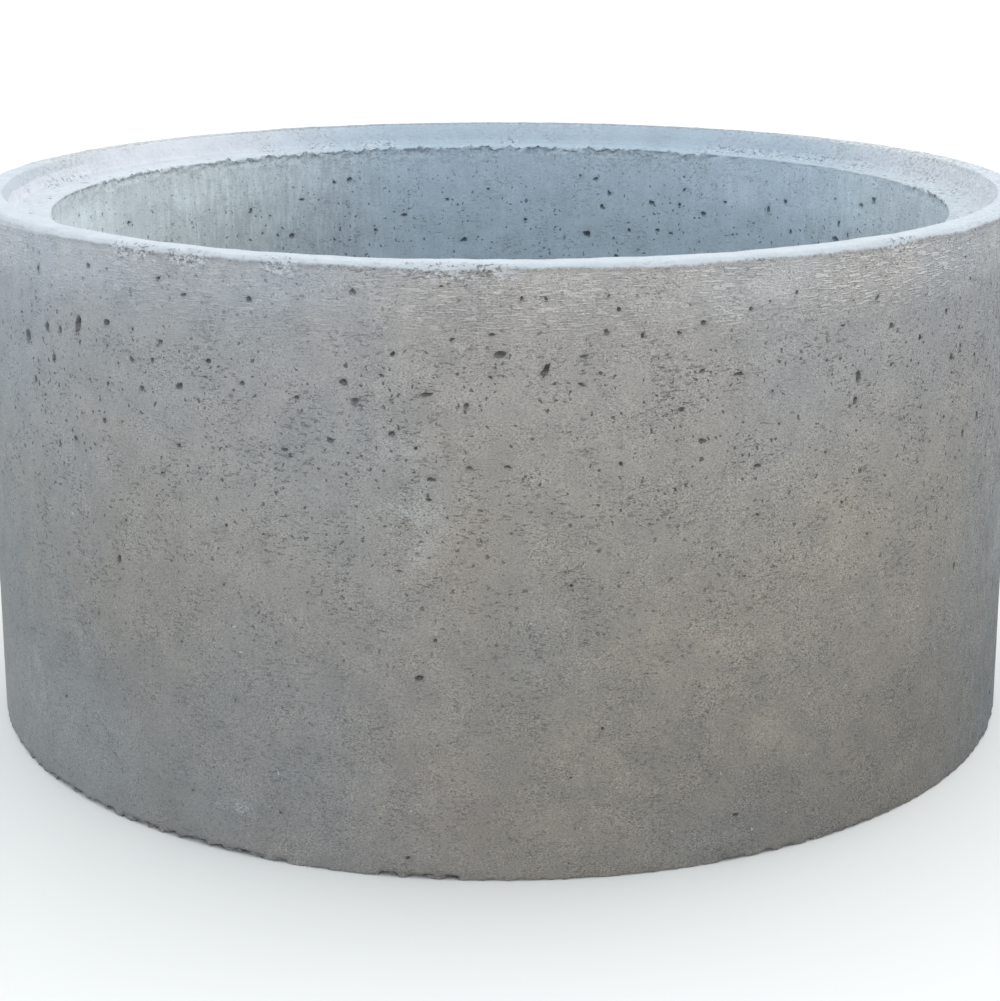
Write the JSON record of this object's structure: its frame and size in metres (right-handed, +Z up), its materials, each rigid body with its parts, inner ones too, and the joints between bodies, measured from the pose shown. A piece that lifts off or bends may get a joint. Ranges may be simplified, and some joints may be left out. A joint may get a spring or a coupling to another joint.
{
  "type": "concrete culvert ring",
  "caption": "Short precast concrete ring, open at both ends, with a stepped rebate inside its top rim that seats a cover slab or the next ring.",
  "frame": {"origin": "centre of the flat base, on the ring's axis", "axes": "+Z up along the ring's axis, from the base to the rebated rim; +X and +Y lie in the base"},
  "size_m": [1.16, 1.16, 0.59],
  "materials": {
    "concrete": "cast grey concrete, matt, with air holes and trowel marks"
  },
  "bodies": {
    "root": {"culvert_ring": "concrete"}
  },
  "joints": []
}
